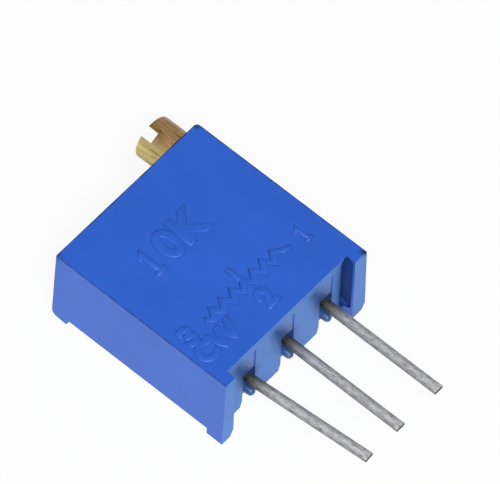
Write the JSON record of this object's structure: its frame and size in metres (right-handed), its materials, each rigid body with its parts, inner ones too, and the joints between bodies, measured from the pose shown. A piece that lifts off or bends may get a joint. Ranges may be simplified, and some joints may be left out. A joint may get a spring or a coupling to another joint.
{
  "type": "trimmer potentiometer",
  "caption": "Square upright trimmer potentiometer in a moulded case: a slotted worm screw turns a wheel whose wiper sweeps a printed track between wire terminals.",
  "frame": {"origin": "on the axis of the middle terminal, in the plane of the two board feet", "axes": "-Y along the terminals, +Y towards the screw head, +Z out of the marked face; the part lies on its back feet"},
  "size_m": [0.0096, 0.0176, 0.0048],
  "materials": {
    "housing_plastic": "satin moulded blue",
    "resin": "cast, slightly glossy",
    "ceramic": "matt fired",
    "track_ink": "fired print",
    "land_ink": "fired silver print",
    "tinned_wire": "dull tinned",
    "solder": "satin",
    "screw_brass": "turned",
    "seal_rubber": "matt",
    "clip_steel": "stamped",
    "wheel_plastic": "moulded",
    "spring_alloy": "rolled strip"
  },
  "bodies": {
    "case": {"housing": "housing_plastic", "resin_fill": "resin", "ceramic_base": "ceramic", "resistive_track": "track_ink", "collector_track": "land_ink", "end_land_1": "land_ink", "end_land_3": "land_ink", "terminal_1": "tinned_wire", "terminal_2": "tinned_wire", "terminal_3": "tinned_wire", "solder_joint_1": "solder", "solder_joint_2": "solder", "solder_joint_3": "solder", "retaining_clip": "clip_steel"},
    "adjuster": {"adjusting_screw": "screw_brass", "seal_ring": "seal_rubber"},
    "rotor": {"worm_wheel": "wheel_plastic", "wiper_spring": "spring_alloy"}
  },
  "joints": [
    {"name": "adjuster_turn", "type": "hinge", "parent": "case", "child": "adjuster", "pos_m": [0.00349, 0, 0.00088], "axis": [0, 1, 0], "range_deg": [-4500, 4500]},
    {"name": "wiper_turn", "type": "hinge", "parent": "case", "child": "rotor", "pos_m": [-0.00034, 0.00532, 0], "axis": [0, 0, 1], "range_deg": [-140.62, 140.62]}
  ],
  "couplings": [
    {"joint": "wiper_turn", "follows": "adjuster_turn", "ratio": -0.03125}
  ]
}
